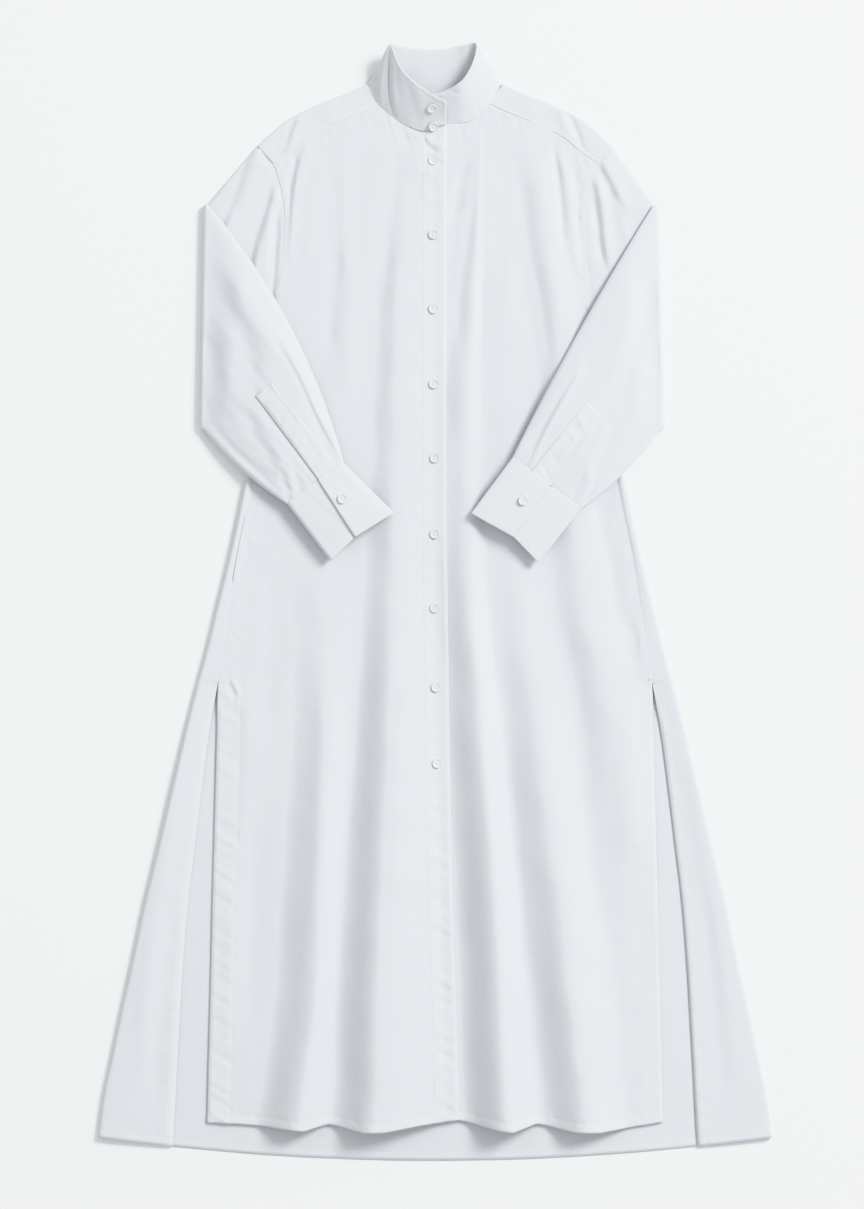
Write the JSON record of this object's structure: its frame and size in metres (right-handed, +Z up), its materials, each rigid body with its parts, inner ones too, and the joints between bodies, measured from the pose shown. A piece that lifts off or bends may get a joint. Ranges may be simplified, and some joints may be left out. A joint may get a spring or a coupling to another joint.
{
  "type": "shirt dress",
  "caption": "Long white cotton shirt dress with a stand-up collar and side slits, laid flat on its back with both sleeves folded over the front.",
  "frame": {"origin": "on the surface it lies on, under the middle of the outline", "axes": "+Y from the hem to the collar, +Z up out of the front, +X to the wearer's left"},
  "size_m": [0.8242, 1.3652, 0.0361],
  "materials": {
    "poplin": "plain white cotton poplin, matt with a slight sheen",
    "button": "white shirt button, soft gloss"
  },
  "bodies": {
    "root": {"yoke": "poplin", "back": "poplin", "front_right": "poplin", "front_left": "poplin", "buttonhole_band": "poplin", "button_band": "poplin", "collar": "poplin", "sleeve_right": "poplin", "sleeve_left": "poplin", "sleeve_placket_right": "poplin", "sleeve_placket_left": "poplin", "cuff_right": "poplin", "cuff_left": "poplin", "pocket_right": "poplin", "pocket_left": "poplin", "button_01": "button", "button_02": "button", "button_03": "button", "button_04": "button", "button_05": "button", "button_06": "button", "button_07": "button", "button_08": "button", "button_09": "button", "button_10": "button", "button_11": "button", "cuff_button_right": "button", "cuff_button_left": "button"}
  },
  "joints": []
}
